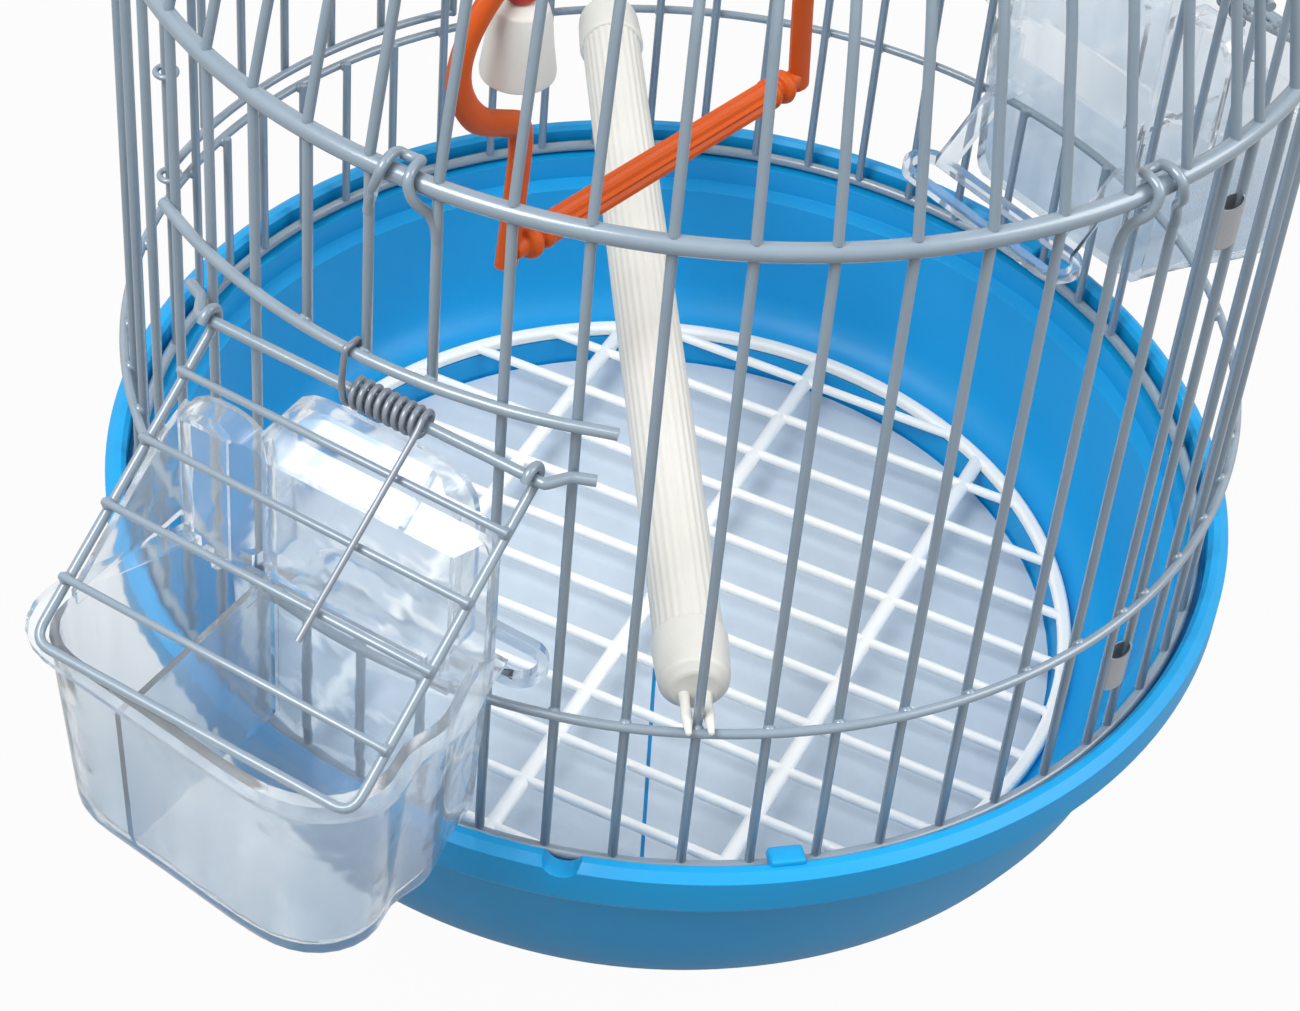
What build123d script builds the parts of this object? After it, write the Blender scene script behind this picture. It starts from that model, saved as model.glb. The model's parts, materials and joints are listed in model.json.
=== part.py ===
from build123d import *
import math
import os

# A round wire bird cage on a deep plastic base. Millimetres, Z up, the front is -Y.
# The origin lies on the cage's axis, at the underside of the base.

# Driving dimensions: wire walls
WALL_R = 119.4  # axis of each upright wire
WIRE_D = 2.0
SPACING = 6.6  # degrees from one upright to the next
FIRST_AZ = -86.44  # azimuth of upright 0, near the front
FIRST, LAST = -47, 7  # uprights run round from one side of the seam to the other
RIM_RING_Z, RIM_RING_R = 54.0, 120.0
LOW_RING_Z, LOW_RING_R = 94.5, 121.3
TOP_RING_Z, TOP_RING_R, TOP_RING_D = 210.7, 119.5, 4.6
HEADER_Z, HEADER_R = 168.6, 121.3

# Base, liner and grille
BASE_R = 127.0
BASE_H = 58.0
GRILLE_R = 98.6
GRILLE_Z = 10.6
LINER_R = 94.5
TRAY_FLATS = 60

# Feeders: two alike, each with a clear cup and a sprung guard
FEEDER_AZ = {"left": 240.56, "right": 42.56}
FEEDER_MIDDLE = {"left": -5, "right": -35}
HINGE_X, HINGE_Z = 118.9, 157.0
GUARD_W = 72.0
GUARD_L = 67.3
GUARD_DROP = 35.5  # degrees below level when it rests over the cup
GUARD_BARS = (10.8, 25.0, 38.8, 54.5)
HOOK_R = 2.3
SPRING_WIRE = 1.3
SPRING_R = 2.65
SPRING_LEFT, SPRING_RIGHT = -3.6, 13.0
CUP_BACK = 123.2
CUP_BOTTOM, CUP_RIM = 66.0, 114.3
CUP_WALL = 1.5
CUP_FLATS = 56
HOOD_FRONT, HOOD_IN = 131.0, 116.6

# Lift-up door at the back
DOOR_MIDDLE = -20
DOOR_R = 123.7
DOOR_BOTTOM, DOOR_TOP = 97.6, 173.0
DOOR_GUIDES = (-24, -16)
GUIDE_HEIGHTS = (103.0, 131.0)

# Dome
DOME_LINE = ((119.4, 212.7), (115.3, 230.0), (107.5, 257.0), (90.0, 286.0), (60.0, 308.0), (24.0, 318.5))
DOME_RING_POINT = 3

# Swing and bell
SWING_X, SWING_Y, SWING_AZ = -9.0, 0.5, 50.6
SWING_PIVOT_Z = 300.0
SWING_BAR_Z = 138.0
BELL_S, BELL_PIVOT_Z = -45.5, 204.0

# Perch
PERCH_UPRIGHTS = (0, -26)
PERCH_GAP = 6.2  # from the upright's axis to the end of the plug
PERCH_Z, PERCH_D = 98.0, 15.3


def save(name, *solids):
    export_step(Compound(children=list(solids)), "parts/" + name + ".step")


def spot(r, az, z=0.0):
    return Vector(r * math.cos(math.radians(az)), r * math.sin(math.radians(az)), z)


def upright_az(i):
    return FIRST_AZ + SPACING * i


def turned(shape, az, x=0.0, y=0.0):
    return Location((x, y, 0), (0, 0, az)) * shape


def rod(start, end, d=WIRE_D, sides=6):
    """Straight wire from one point to another."""
    start, end = Vector(*start), Vector(*end)
    section = Plane(start, z_dir=end - start) * RegularPolygon(d * 0.52, sides)
    return extrude(section, (end - start).length)


def bent(points, d=WIRE_D, sides=6, radius=None):
    """Bent wire through points, with mitred corners or rounded ones."""
    if radius:
        path = FilletPolyline(*points, radius=radius)
        joint = Transition.TRANSFORMED
    else:
        path = Polyline(*points)
        joint = Transition.RIGHT
    section = Plane(path @ 0, z_dir=path % 0) * RegularPolygon(d * 0.52, sides)
    return sweep(section, path=path, transition=joint, clean=False)


def polygon(points):
    return make_face(Polyline(*points, close=True)).face()


def skin(rims):
    """Closed solid of flat facets over rims that have equal numbers of points."""
    faces = [polygon(rims[0]), polygon(rims[-1])]
    for low, high in zip(rims, rims[1:]):
        faces += [polygon((low[k - 1], low[k], high[k], high[k - 1])) for k in range(len(low))]
    return Solid(Shell(faces))


def stack(profile, sides):
    """Round solid with flat facets, from its radius at each height."""
    return skin([[spot(r, 360 * k / sides, z) for k in range(sides)] for r, z in profile])


def ring(r, z, d=WIRE_D, sides=55):
    """Closed wire hoop: six-sided in section, one flat between two uprights."""
    a = d * 0.52
    outside = stack(((r + a / 2, z - 0.87 * a), (r + a, z), (r + a / 2, z + 0.87 * a)), sides)
    inside = stack(((r - a / 2, z - 0.87 * a), (r - a, z), (r - a / 2, z + 0.87 * a)), sides)
    return outside - inside


def hoop_part(r, z, az_from, az_to, d=WIRE_D):
    """Part of a wire hoop, from one azimuth to another."""
    n = math.ceil((az_to - az_from) / SPACING)
    return bent([spot(r, az_from + (az_to - az_from) * k / n, z) for k in range(n + 1)], d)


os.makedirs("parts", exist_ok=True)

# Base tray: deep, double step at the rim with a groove that holds the rim ring
tray = stack(
    ((99, 0), (108.5, 6), (114.6, 18), (120.5, 44), (BASE_R, 47.5), (BASE_R, 56.5), (125.0, BASE_H)), TRAY_FLATS
)
floor_recess = stack(((95.2, 3), (95.6, GRILLE_Z + 1)), TRAY_FLATS)
bowl = stack(((101.4, GRILLE_Z - 0.1), (109.6, 18), (113.6, 45), (117.0, 46.2), (117.4, 53)), TRAY_FLATS)
groove = stack(((122.4, 52.2), (122.4, 57.0), (123.4, BASE_H + 0.1)), TRAY_FLATS)
lip = Plane.XZ * make_face(
    Polyline((121.6, 55.0), (124.5, 55.0), (124.5, 59.4), (118.6, 59.4), (117.8, 56.0), (120.0, 55.9), close=True)
)
tabs = [turned(extrude(lip, 5.0, both=True), upright_az(i)) for i in (1.5, -34.5, -17.5)]
notch_plane = Plane(spot(BASE_R - 8, -97.5, BASE_H), z_dir=spot(1, -97.5))
finger_notch = extrude(notch_plane * RegularPolygon(4.0, 12), 12)
save("base_tray", tray - floor_recess - bowl - groove - finger_notch + tabs)

# Liner: a thin disc with a slit from its middle to the front
liner = Pos(0, 0, 3.1) * extrude(RegularPolygon(LINER_R, TRAY_FLATS), 0.6)
slit = Pos(1.0, -LINER_R / 2, 3.4) * Box(0.8, LINER_R + 2, 2)
save("droppings_liner", liner - slit)

# Floor grille: twelve thin bars across three thick ones in a round rim
rim = RegularPolygon(GRILLE_R, TRAY_FLATS) - RegularPolygon(GRILLE_R - 3.2, TRAY_FLATS)
disc = RegularPolygon(GRILLE_R - 1.5, TRAY_FLATS)
thin = [Rot(0, 0, -23) * Pos(0, 15.6 * (k - 5.5) + 1.9) * Rectangle(2 * GRILLE_R, 2.4) for k in range(12)]
thick = [Rot(0, 0, -23) * Pos(49.6 * k, 0) * Rectangle(3.8, 2 * GRILLE_R) for k in (-1, 0, 1)]
grille = extrude(rim + ((Sketch() + thin + thick) & disc), 3.0)
save("floor_grille", Pos(0, 0, GRILLE_Z) * grille)

# Hoops
save("rim_ring", ring(RIM_RING_R, RIM_RING_Z, 2.6))
save("lower_ring", ring(LOW_RING_R, LOW_RING_Z))
save("top_ring", ring(TOP_RING_R, TOP_RING_Z, TOP_RING_D))

# Uprights, cut short at the three openings and at the hook pairs
STUBS = {FEEDER_MIDDLE[side] + k for side in FEEDER_MIDDLE for k in (-1, 0, 1)}
STUBS |= {DOOR_MIDDLE + k for k in (-2, -1, 0, 1, 2)}
HOOK_PAIRS = (-4.5, 5.5, -15.5, -26.5, -38.5)
HOOKED = {int(pair + half) for pair in HOOK_PAIRS for half in (-0.5, 0.5)}
HOOK_START = 200.0
uprights = []
for i in range(FIRST, LAST + 1):
    az = upright_az(i)
    top = HOOK_START if i in HOOKED else TOP_RING_Z - 2.1
    runs = [(RIM_RING_Z + 1.0, LOW_RING_Z + 1.4), (HEADER_Z - 1.4, top)]
    if i not in STUBS:
        runs = [(RIM_RING_Z + 1.0, top)]
    for low, high in runs:
        uprights.append(rod(spot(WALL_R, az, low), spot(WALL_R, az, high)))
save("wall_wires", *uprights)

# Hook pairs: two neighbouring uprights lean together and fold over the thick ring
OUT = TOP_RING_R + TOP_RING_D / 2 + 1.15
IN = TOP_RING_R - TOP_RING_D / 2 - 1.15
OVER = TOP_RING_Z + TOP_RING_D / 2 + 1.15
hooks = []
for pair in HOOK_PAIRS:
    for side in (-1, 1):
        start = spot(WALL_R, side * SPACING / 2, HOOK_START)
        leg = (
            start,
            (WALL_R + 0.4, side * 5.6, 203.0),
            (OUT, side * 1.3, 208.6),
            (OUT, side * 1.2, 211.8),
            (OUT - 1.6, side * 1.2, OVER),
            (IN + 1.4, side * 1.2, OVER),
            (IN, side * 1.2, 211.8),
            (IN, side * 1.2, 208.2),
        )
        hooks.append(turned(bent(leg, sides=4), upright_az(pair)))
save("hook_pairs", *hooks)

# Headers over the openings
for side, middle in FEEDER_MIDDLE.items():
    save("feeder_header_" + side, hoop_part(HEADER_R, HEADER_Z, upright_az(middle - 4.1), upright_az(middle + 3.56)))
save("door_header", hoop_part(HEADER_R, HEADER_Z, upright_az(DOOR_MIDDLE - 3.3), upright_az(DOOR_MIDDLE + 3.3)))

# Seam: folded metal clips hold the two edges of the wire sheet together
SEAM_AZ = (upright_az(LAST) + upright_az(FIRST) + 360) / 2
clip_section = Pos(WALL_R - 0.1, 0) * (Rectangle(3.9, 12.0) - Rectangle(2.5, 10.6)) + Pos(123.2, 0) * Rectangle(4.6, 0.9)
clip = turned(extrude(clip_section, 12.0), SEAM_AZ)
save("seam_clip_upper", Pos(0, 0, 186) * clip)
save("seam_clip_lower", Pos(0, 0, 70) * clip)

# Dome: every other wire stops at the upper ring
full = bent([(r, 0, z) for r, z in DOME_LINE], sides=4)
short = bent([(r, 0, z) for r, z in DOME_LINE[: DOME_RING_POINT + 1]], sides=4)
save("dome_long_wires", *[turned(full, upright_az(i)) for i in range(FIRST, LAST + 1) if i % 2 == 0])
save("dome_short_wires", *[turned(short, upright_az(i)) for i in range(FIRST, LAST + 1) if i % 2])
save("dome_ring", ring(DOME_LINE[DOME_RING_POINT][0] - 1.5, DOME_LINE[DOME_RING_POINT][1] - 0.6, sides=28))
crown = stack(((25, 314), (27.5, 316), (27.5, 320), (20, 324), (8, 327)), 32)
save("crown_cap", crown - stack(((2.5, 313), (2.5, 328)), 16))

# Staple under the crown that the swing hangs from
staple = bent(((0, -11, 315), (0, -11, SWING_PIVOT_Z), (0, 11, SWING_PIVOT_Z), (0, 11, 315)), 3.0)
save("swing_staple", turned(staple, SWING_AZ - 90, SWING_X, SWING_Y))

# Hanging hook, free to swivel in the crown
shank = stack(((4.2, 309), (4.2, 312.5)), 12) + stack(((2.0, 312), (2.0, 329)), 12)
elbow = stack(((2.0, 327.5), (2.6, 329), (2.6, 331.5), (1.6, 333)), 12)
bow = [(13 * math.cos(math.radians(a)), 0, 343 + 13 * math.sin(math.radians(a))) for a in range(-90, 170, 17)]
save("hanging_hook", shank + elbow + bent(bow, 3.8))

# Feeder parts are drawn about azimuth 0: X outwards, Y along the wall
drop = math.radians(GUARD_DROP)
DOWN = Vector(math.cos(drop), 0, -math.sin(drop))
UP = Vector(math.sin(drop), 0, math.cos(drop))
HINGE = Vector(HINGE_X, 0, HINGE_Z)


def across(y, along, above):
    """Point of the guard: distance from the hinge down its slope, and above its plane."""
    return HINGE + Vector(0, y, 0) + DOWN * along + UP * above


# Hinge wire: straight where the guard turns, bent in to the wall at both ends
hinge_points = [(112.6, 45.6), (114.5, 41.4), (HINGE_X, 38.6)]
hinge_wire = bent(
    [(x, -y, HINGE_Z) for x, y in hinge_points] + [(x, y, HINGE_Z) for x, y in reversed(hinge_points)]
)

# Guard frame: one wire, hooked round the hinge wire at both ends
half = GUARD_W / 2
corner = 6.0
quarter = corner * (1 - math.sqrt(0.5))
eye = []
for k in range(7):
    a = math.radians(15 + k * (255 - GUARD_DROP) / 7)
    eye.append((HINGE_X + HOOK_R * math.cos(a), HINGE_Z + HOOK_R * math.sin(a)))
one_side = [across(half, t, -HOOK_R) for t in (0, GUARD_L - corner)]
one_side += [across(half - quarter, GUARD_L - quarter, -HOOK_R), across(half - corner, GUARD_L, -HOOK_R)]
one_side = [Vector(x, half, z) for x, z in eye] + one_side
other_side = [Vector(p.X, -p.Y, p.Z) for p in reversed(one_side)]
guard_frame = bent(one_side + other_side)
guard_bars = [rod(across(-38.6, t, 1.9 - HOOK_R), across(38.6, t, 1.9 - HOOK_R)) for t in GUARD_BARS]


def biarc(p0, t0, p1, t1):
    """Two arcs that leave p0 along t0 and reach p1 along t1."""
    v, t = p1 - p0, t0 + t1
    k = 2 * (1 - t0.dot(t1))
    d = (-v.dot(t) + math.sqrt(v.dot(t) ** 2 + k * v.dot(v))) / k
    a, b = p0 + t0 * d, p1 - t1 * d
    middle = (a + b) * 0.5
    return [TangentArc(p0, middle, tangent=t0), TangentArc(middle, p1, tangent=(b - a).normalized())]


# Torsion spring: short leg hooked over the header, coil on the hinge wire, long leg down the guard
END_ANGLE = 90 - GUARD_DROP - 1.1
TURNS = 9 - END_ANGLE / 360
RISE = (SPRING_RIGHT - SPRING_LEFT) / TURNS


def coil_point(n):
    """Point and direction of the coil after n turns."""
    a = -2 * math.pi * n
    point = HINGE + Vector(SPRING_R * math.cos(a), SPRING_LEFT + RISE * n, SPRING_R * math.sin(a))
    going = Vector(SPRING_R * math.sin(a) * 2 * math.pi, RISE, -SPRING_R * math.cos(a) * 2 * math.pi)
    return point, going.normalized()


steps = 2 * int(TURNS) + 2
stations = [coil_point(TURNS * k / steps) for k in range(steps + 1)]
first, last = stations[0], stations[-1]
leg_top = first[0] - first[1] * 3.0
short_leg = FilletPolyline(
    (119.5, -1.6, 167.2),
    (119.5, -1.7, 170.5),
    (123.2, -2.0, 170.5),
    (123.2, -2.4, 166.0),
    leg_top,
    first[0],
    radius=1.35,
)
coil_edges = []
for (p0, t0), (p1, t1) in zip(stations, stations[1:]):
    coil_edges += biarc(p0, t0, p1, t1)
long_leg = Line(last[0], last[0] + last[1] * 45.6)
spring_path = Wire(short_leg.edges() + coil_edges + [long_leg])
spring_section = Plane(spring_path @ 0, z_dir=spring_path % 0) * RegularPolygon(SPRING_WIRE * 0.54, 4)
spring = sweep(spring_section, path=spring_path, clean=False)

# Least gap between turns, from points along the coil
trail = [coil_point(k / 36)[0] for k in range(int(TURNS * 36))]
least = min((trail[a] - trail[b]).length for a in range(len(trail)) for b in range(a + 24, min(a + 60, len(trail))))
print("spring: turns", round(TURNS, 2), "least gap", round(least - SPRING_WIRE, 2), "mm")


# Cup: a wavy tapered bin with a divider, two hoods over its back and a perch loop inside the cage
CUP_LINE = (
    (112.0, -29.0),
    (CUP_BACK, -29.5),
    (131.0, -31.5),
    (140.5, -34.5),
    (151.0, -38.6),
    (161.0, -39.9),
    (168.6, -35.5),
    (171.3, -26.0),
    (172.6, -13.0),
    (174.0, 0.0),
    (175.3, 13.0),
    (174.0, 25.5),
    (166.0, 34.4),
    (159.0, 35.6),
    (152.5, 34.4),
    (143.5, 36.2),
    (134.5, 34.4),
    (CUP_BACK, 32.5),
    (112.0, 32.0),
)
CUP_MIDDLE = Vector(146, 0)


def cup_rim(z, inset=0.0):
    """Outline of the bin at a height: it narrows downwards, and inset moves it inwards."""
    line = Spline(*CUP_LINE)
    share = 1 - (inset + (CUP_RIM - z) * 0.055) / 31
    return [Vector(CUP_MIDDLE.X, 0, z) + (line @ (k / (CUP_FLATS - 1)) - CUP_MIDDLE) * share for k in range(CUP_FLATS)]


def behind(x):
    """Everything between a plane behind the bin and the cage's middle."""
    return Pos(x - 20, 0, 90) * Box(40, 120, 80)


def lobe(y, half, top, round_by, inset=0.0):
    """Front view of a hood: straight sides and a rounded top."""
    side, peak = half - inset, top - inset
    return Plane.YZ * (
        Pos(y, peak - round_by) * Rectangle(2 * (side - round_by), 2 * round_by)
        + Pos(y, (peak - round_by + 90) / 2) * Rectangle(2 * side, peak - round_by - 90)
        + Pos(y - side + round_by, peak - round_by) * RegularPolygon(round_by, 16)
        + Pos(y + side - round_by, peak - round_by) * RegularPolygon(round_by, 16)
    )


def hood_block(y, half, top, inward, inset=0.0):
    """Solid block of a hood: its front corners are cut and its roof slopes under the guard."""
    front, cut_by, side = HOOD_FRONT - inset, 5.0, half - inset
    plan = [(inward, y - side), (front - cut_by, y - side), (front, y - side + cut_by)]
    plan += [(front, y + side - cut_by), (front - cut_by, y + side), (inward, y + side)]
    column = Pos(0, 0, CUP_RIM - 4.3) * extrude(polygon(plan), 60)
    slope = math.tan(drop)
    roof = Plane.XZ * polygon(
        ((100, 90), (140, 90), (140, 150.6 - inset - slope * 21.1), (100, 150.6 - inset + slope * 18.9))
    )
    front_view = extrude(Pos(100, 0, 0) * lobe(y, half, top, 9.0, inset), 40)
    return column & extrude(roof, 60, both=True) & front_view


w = CUP_WALL
outer = skin([cup_rim(CUP_BOTTOM, 2.2), cup_rim(CUP_BOTTOM + 1.6, 0.6), cup_rim(CUP_BOTTOM + 4), cup_rim(CUP_RIM)])
hollow = skin([cup_rim(CUP_BOTTOM + w, 3.2), cup_rim(CUP_BOTTOM + 5, w), cup_rim(CUP_RIM + 1, w)])
flange = skin([cup_rim(CUP_RIM - 1.6, -2.9), cup_rim(CUP_RIM, -3.1)])
divider = Pos(148, -18, (CUP_BOTTOM + CUP_RIM - 8) / 2 + 0.5) * Box(50, 1.4, CUP_RIM - CUP_BOTTOM - 9)
hoods = hood_block(-28.3, 10.7, 143.5, CUP_BACK) + hood_block(8.0, 25.0, 149.5, CUP_BACK)
hoods += hood_block(2.5, 21.5, 149.5, HOOD_IN)
inside = hood_block(-28.3, 10.7, 143.5, CUP_BACK - 1, w) + hood_block(8.0, 25.0, 149.5, CUP_BACK - 1, w)
inside += hood_block(2.5, 21.5, 149.5, HOOD_IN - 1, w)
inside += Pos(CUP_BACK, -28.3, CUP_RIM - 6) * Box(10, 2 * (10.7 - w), 9) + Pos(CUP_BACK, 2.5, CUP_RIM - 6) * Box(20, 40, 9)
side_fin = Plane.XZ.offset(38.3) * polygon(((CUP_BACK, 112.8), (158, 112.8), (158, 116.0), (131, 136.0), (CUP_BACK, 139.0)))
arm = Plane.XZ * polygon(
    (
        (CUP_BACK + 0.7, 96.6),
        (CUP_BACK + 0.7, 98.6),
        (115.6, 98.6),
        (100.0, 84.0),
        (100.0, 81.4),
        (116.4, 96.6),
    )
)
arms = [Pos(0, y, 0) * extrude(arm, 2.4, both=True) for y in (-20.5, 20.5)]
perch_loop = Pos(96.4, 0, 81.2) * extrude(Rot(0, 0, 90) * (SlotOverall(56, 12) - SlotOverall(51.6, 7.6)), 2.8)
bin_wall = (outer + flange - behind(CUP_BACK)) - (hollow - behind(CUP_BACK + w)) + (divider & outer)
cup = bin_wall + hoods - inside + extrude(side_fin, 0.7, both=True) + arms + perch_loop
print("cup: valid", cup.is_valid, "solids", len(cup.solids()), "volume", round(cup.volume))

for side, az in FEEDER_AZ.items():
    save("hinge_wire_" + side, turned(hinge_wire, az))
    save("guard_frame_" + side, turned(guard_frame, az))
    save("guard_bars_" + side, *[turned(bar, az) for bar in guard_bars])
    save("torsion_spring_" + side, turned(spring, az))
    save("feeder_cup_" + side, turned(cup, az))

# Door: a bent wire frame and five bars, sliding on two uprights by four small eyes
door_az = upright_az(DOOR_MIDDLE)
left_az, right_az = upright_az(-23.3), upright_az(-16.65)
door_side_rods = [rod(spot(DOOR_R, az, DOOR_BOTTOM - 1), spot(DOOR_R, az, DOOR_TOP + 1)) for az in (left_az, right_az)]
door_rails = [hoop_part(DOOR_R, z, left_az, right_az) for z in (DOOR_BOTTOM, DOOR_TOP)]
save("door_frame", door_side_rods[0] + door_side_rods[1] + door_rails[0] + door_rails[1])
door_bars = []
for k in (-2, -1, 0, 1, 2):
    az = upright_az(DOOR_MIDDLE + k)
    door_bars.append(rod(spot(DOOR_R + 1.9, az, DOOR_BOTTOM - 1.5), spot(DOOR_R + 1.9, az, DOOR_TOP + 1.5)))
save("door_bars", *door_bars)
eyes_of_door = []
for i, frame_az in zip(DOOR_GUIDES, (left_az, right_az)):
    centre = spot(WALL_R, upright_az(i))
    reach = spot(DOOR_R, frame_az)
    toward = (reach - centre).normalized()
    for z in GUIDE_HEIGHTS:
        loop = Pos(centre.X, centre.Y, z) * extrude(RegularPolygon(3.0, 10) - RegularPolygon(1.5, 10), 1.6)
        link = rod(centre + toward * 2.4 + Vector(0, 0, z + 0.8), reach - toward * 0.6 + Vector(0, 0, z + 0.8), 1.5, 4)
        eyes_of_door.append(loop + link)
save("door_eyes", *eyes_of_door)

# Perch: fluted rod between two plugs, each with two prongs over an upright
perch_from, perch_to = [spot(WALL_R, upright_az(i), PERCH_Z) for i in PERCH_UPRIGHTS]
perch_dir = (perch_to - perch_from).normalized()
perch_len = (perch_to - perch_from).length - 2 * PERCH_GAP
front = perch_from + perch_dir * PERCH_GAP
back = perch_to - perch_dir * PERCH_GAP
perch_plane = Plane(front, z_dir=perch_dir, x_dir=Vector(0, 0, 1))
flutes = []
for k in range(28):
    a = math.pi * k / 14
    r = PERCH_D / 2 - (0.7 if k % 2 else 0)
    flutes.append((r * math.cos(a), r * math.sin(a)))
perch_rod = extrude(perch_plane.offset(13.6) * make_face(Polyline(*flutes, close=True)), perch_len - 27.2)
save("perch_rod", perch_rod)
cap_body = stack(((5.0, 0), (7.6, 3.0), (8.0, 13.4)), 20)
prong = ((3.5, 0.6), (3.5, -9.9), (-5.5, -10.3))
prongs = [bent([(x, y, z) for x, z in prong], 1.3, 4) for y in (-2.1, 2.1)]
back_plane = Plane(back, z_dir=perch_dir * -1, x_dir=Vector(0, 0, 1))
save("perch_caps", perch_plane * (cap_body + prongs), back_plane * (cap_body + prongs))

# Swing: moulded frame with a looped shoulder each side, drawn in the plane X = 0 with Y along the bar
side_line = (
    (-46.0, -4.0),
    (-43.0, 19.0),
    (-44.5, 30.0),
    (-57.0, 39.0),
    (-61.8, 52.0),
    (-55.0, 64.5),
    (-36.0, 76.0),
    (-12.0, 92.0),
    (0.0, 104.0),
)
bend_radii = [20, 9, 9, 9, 9, 24, 24]
half_line = Plane.YZ * Pos(0, SWING_BAR_Z) * FilletPolyline(*side_line, radius=bend_radii)
arm_section = Plane(half_line @ 0, x_dir=(1, 0, 0), z_dir=half_line % 0) * Rectangle(4.0, 6.6)
swing_half = sweep(arm_section, path=half_line)
other_half = mirror(swing_half, about=Plane.XZ)
bell_loop = Pos(0, BELL_S, BELL_PIVOT_Z - 1.0) * extrude(RegularPolygon(0.9, 6), 4.5)
stem = Pos(0, 0, SWING_BAR_Z + 101) * extrude(Rectangle(4.0, 7.0), SWING_PIVOT_Z - SWING_BAR_Z - 101 - 4.5)
stem_eye = Plane.XZ.offset(-2.0) * Pos(0, SWING_PIVOT_Z) * extrude(RegularPolygon(6.2, 14) - RegularPolygon(2.2, 14), 4.0)
save("swing_frame", turned(swing_half + other_half + stem + stem_eye + bell_loop, SWING_AZ - 90, SWING_X, SWING_Y))
bar_flutes = []
for k in range(24):
    a = math.pi * k / 12
    r = 4.5 - (0.5 if k % 2 else 0)
    bar_flutes.append((r * math.cos(a), r * math.sin(a)))
bar_middle = Pos(0, 0, -34) * extrude(make_face(Polyline(*bar_flutes, close=True)), 68)
collar = stack(((4.5, 33.8), (6.2, 37.0), (6.2, 39.5), (4.0, 42.7)), 14)
swing_bar = Pos(0, 0, SWING_BAR_Z) * (Rot(90, 0, 0) * (bar_middle + collar + Rot(180, 0, 0) * collar))
save("swing_bar", turned(swing_bar, SWING_AZ - 90, SWING_X, SWING_Y))

# Bell in the left loop of the swing, on a wire loop under a coloured bead
bell_out = stack(((8.6, -22), (7.0, -14.6), (6.1, -7.4), (3.2, -4.8)), 24)
bell_in = stack(((7.7, -22.1), (5.9, -14.5), (4.9, -8), (2.6, -6)), 24)
at_bell = Location((SWING_X, SWING_Y, 0), (0, 0, SWING_AZ - 90)) * Pos(0, BELL_S, BELL_PIVOT_Z)
bell = at_bell * (bell_out - bell_in)
bead = at_bell * stack(((2.6, -4.8), (3.4, -3.4), (2.6, -1.8)), 12)
clapper = at_bell * stack(((0.6, -6.4), (0.6, -15), (1.9, -16.5), (1.9, -19), (0.8, -20.5)), 10)
save("bell", bell)
save("bell_bead", bead)
save("bell_clapper", clapper)
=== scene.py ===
# %% [markdown]
# # A round wire bird cage
# The cage is a drum of coated wire that stands in a deep blue plastic base, under a wire dome with a
# hook. Two clear feeder cups hang outside it under sprung wire guards, and a perch, a swing and a
# bell are inside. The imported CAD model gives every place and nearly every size, so it is loaded
# first, and each piece below is modelled on it: round wires over the CAD's six-sided ones, moulded
# plastic with soft edges over its faceted solids.

# %% Load the frame
import bpy
import json
import math
from mathutils import Matrix, Vector


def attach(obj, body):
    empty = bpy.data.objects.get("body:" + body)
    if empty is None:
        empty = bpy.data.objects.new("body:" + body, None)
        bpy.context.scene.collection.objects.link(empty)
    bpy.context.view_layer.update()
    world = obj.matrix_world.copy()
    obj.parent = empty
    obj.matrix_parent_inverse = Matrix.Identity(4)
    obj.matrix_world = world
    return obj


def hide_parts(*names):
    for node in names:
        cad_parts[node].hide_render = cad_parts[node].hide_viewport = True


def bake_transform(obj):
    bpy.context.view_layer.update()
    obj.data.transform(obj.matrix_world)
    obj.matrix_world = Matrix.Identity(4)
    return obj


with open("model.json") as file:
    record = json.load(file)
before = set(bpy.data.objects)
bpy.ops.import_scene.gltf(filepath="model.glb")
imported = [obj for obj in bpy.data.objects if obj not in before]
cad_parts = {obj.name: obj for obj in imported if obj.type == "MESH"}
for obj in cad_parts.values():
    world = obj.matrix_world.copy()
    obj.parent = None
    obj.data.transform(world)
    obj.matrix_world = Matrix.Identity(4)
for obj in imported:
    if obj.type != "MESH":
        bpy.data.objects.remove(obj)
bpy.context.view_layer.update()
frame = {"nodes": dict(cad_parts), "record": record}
nodes = frame["nodes"]
bodies = frame["record"]["behaviour"]["bodies"]
body_of = {node: body for body, members in bodies.items() for node in members}
slot_of = {part["node"]: part["material_slot"] for part in frame["record"]["subparts"]}

# %% [markdown]
# ## Camera, light and floor
# The photograph was taken from above and in front, with the picture cutting off the dome. The camera
# stands where its lines of sight to the rings and the base agree with it. The light is a studio's:
# a white surround, dimmer as a light than it looks, and two large soft lamps at a plain level, so
# that each colour renders about as it is written. The floor looks white to the camera and to clear
# plastic, half as white in a reflection, and keeps a faint shadow.

# %% Camera
CAMERA_PLACE = (-0.0133663, -0.5321722, 0.5361627)
CAMERA_TURN = (0.81780768, -0.07330742, 0.05026169)
LENS, SENSOR = 87.29, 36
FAR_CLIP = 50

bpy.ops.object.select_all(action="DESELECT")
bpy.ops.object.camera_add(location=CAMERA_PLACE, rotation=CAMERA_TURN)
camera = bpy.context.object
camera.data.lens = LENS
camera.data.sensor_width = SENSOR
camera.data.sensor_fit = "HORIZONTAL"
camera.data.clip_end = FAR_CLIP
bpy.context.scene.camera = camera
bpy.context.scene.view_settings.view_transform = "Standard"
print("camera", CAMERA_PLACE, "lens", LENS)


# %% Node helpers
def paint(red, green, blue):
    """A colour as a screen shows it, 0 to 255, as the linear values that a shader takes."""
    parts = [c / 255 for c in (red, green, blue)]
    return tuple(c / 12.92 if c <= 0.04045 else ((c + 0.055) / 1.055) ** 2.4 for c in parts) + (1.0,)


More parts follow.
